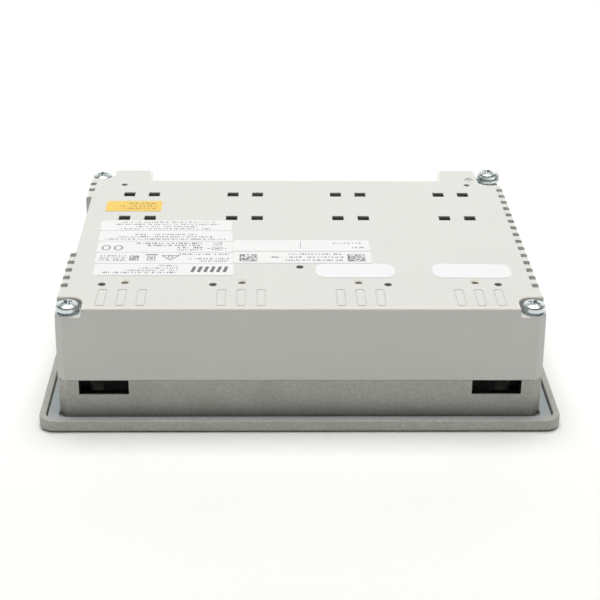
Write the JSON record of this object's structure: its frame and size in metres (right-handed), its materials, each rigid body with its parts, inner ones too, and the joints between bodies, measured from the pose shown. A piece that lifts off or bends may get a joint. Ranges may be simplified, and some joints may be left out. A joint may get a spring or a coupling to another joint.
{
  "type": "hmi touch panel",
  "caption": "Panel-mount operator terminal lying face down: cast front frame, vented rear cover, touch display and control electronics inside.",
  "frame": {"origin": "centre of the front face, on the surface the device lies on", "axes": "+Z towards the rear of the device, X along its long side, +Y towards the connector side"},
  "size_m": [0.187, 0.147, 0.0473],
  "materials": {
    "housing": "fine moulded texture, light warm grey",
    "casting": "grey die casting, fine granular skin",
    "gasket": "matt blue-grey foam rubber",
    "overlay_film": "satin printed polyester film with a dark window",
    "glass": "clear float glass",
    "dark_glass": "dark polarised glass",
    "foam": "black closed-cell foam",
    "sheet_steel": "zinc-coated sheet",
    "zinc_plate": "bright blue-white zinc plating",
    "brass": "nickelled brass",
    "circuit_board": "green solder mask",
    "black_resin": "moulded resin",
    "aluminium": "extruded, natural",
    "can_aluminium": "sleeved aluminium cans",
    "ferrite": "moulded ferrite",
    "black_plastic": "moulded",
    "white_plastic": "moulded",
    "green_plastic": "moulded",
    "nickel": "nickel-plated stamping",
    "tinned": "tin-plated",
    "gold_contact": "gold-plated",
    "lamp_plastic": "translucent",
    "flex_cable": "amber polyimide",
    "label_white": "white polyester label, grey printed bars",
    "label_gloss": "clear glossy blank label",
    "label_yellow": "yellow-orange label"
  },
  "bodies": {
    "base": {"front_frame": "casting", "panel_gasket": "gasket", "front_overlay": "overlay_film", "touch_glass": "glass", "display_gasket": "foam", "display_bezel": "sheet_steel", "display_cell": "dark_glass", "backlight_unit": "white_plastic", "display_pads": "foam", "chassis_plate": "sheet_steel", "chassis_screws": "zinc_plate", "standoffs": "brass", "board_screws": "zinc_plate", "main_board": "circuit_board", "processor": "black_resin", "heat_sink": "aluminium", "memory_chips": "black_resin", "logic_chips": "black_resin", "capacitors": "can_aluminium", "choke": "ferrite", "buzzer": "black_plastic", "cell_holder": "black_plastic", "backup_cell": "nickel", "cable_connectors": "white_plastic", "power_header": "green_plastic", "power_pins": "tinned", "serial_port": "nickel", "serial_insert": "black_plastic", "serial_posts": "nickel", "lan_lamps": "lamp_plastic", "lan_contacts": "gold_contact", "usb_ports": "nickel", "usb_tongues": "white_plastic", "card_slot": "nickel", "touch_cable": "flex_cable", "display_cable": "flex_cable", "lan_socket_1": "nickel", "lan_socket_2": "nickel"},
    "cover": {"rear_cover": "housing", "rating_labels": "label_white", "serial_labels": "label_white", "blank_labels": "label_gloss", "seal_label": "label_yellow"},
    "washer_1": {"cover_washer_1": "zinc_plate"},
    "screw_1": {"cover_screw_1": "zinc_plate"},
    "washer_2": {"cover_washer_2": "zinc_plate"},
    "screw_2": {"cover_screw_2": "zinc_plate"},
    "washer_3": {"cover_washer_3": "zinc_plate"},
    "screw_3": {"cover_screw_3": "zinc_plate"},
    "washer_4": {"cover_washer_4": "zinc_plate", "earth_spacer": "zinc_plate", "earth_clamp_washer": "zinc_plate"},
    "screw_4": {"cover_screw_4": "zinc_plate"}
  },
  "joints": [
    {"name": "cover_lift", "type": "slide", "parent": "base", "child": "cover", "axis": [0, 0, 1], "range_m": [0, 0.06]},
    {"name": "screw_1_rise", "type": "slide", "parent": "cover", "child": "washer_1", "axis": [0, 0, 1], "range_m": [0, 0.0098]},
    {"name": "screw_1_turn", "type": "hinge", "parent": "washer_1", "child": "screw_1", "pos_m": [-0.082, -0.0615, 0.04], "axis": [0, 0, 1], "range_deg": [0, 5040]},
    {"name": "screw_2_rise", "type": "slide", "parent": "cover", "child": "washer_2", "axis": [0, 0, 1], "range_m": [0, 0.0098]},
    {"name": "screw_2_turn", "type": "hinge", "parent": "washer_2", "child": "screw_2", "pos_m": [0.082, -0.0615, 0.04], "axis": [0, 0, 1], "range_deg": [0, 5040]},
    {"name": "screw_3_rise", "type": "slide", "parent": "cover", "child": "washer_3", "axis": [0, 0, 1], "range_m": [0, 0.0098]},
    {"name": "screw_3_turn", "type": "hinge", "parent": "washer_3", "child": "screw_3", "pos_m": [-0.082, 0.0615, 0.04], "axis": [0, 0, 1], "range_deg": [0, 5040]},
    {"name": "screw_4_rise", "type": "slide", "parent": "cover", "child": "washer_4", "axis": [0, 0, 1], "range_m": [0, 0.0098]},
    {"name": "screw_4_turn", "type": "hinge", "parent": "washer_4", "child": "screw_4", "pos_m": [0.082, 0.0615, 0.04], "axis": [0, 0, 1], "range_deg": [0, 5040]}
  ],
  "couplings": [
    {"joint": "screw_1_turn", "follows": "screw_1_rise", "rad_per_m": 8976},
    {"joint": "screw_2_turn", "follows": "screw_2_rise", "rad_per_m": 8976},
    {"joint": "screw_3_turn", "follows": "screw_3_rise", "rad_per_m": 8976},
    {"joint": "screw_4_turn", "follows": "screw_4_rise", "rad_per_m": 8976}
  ]
}
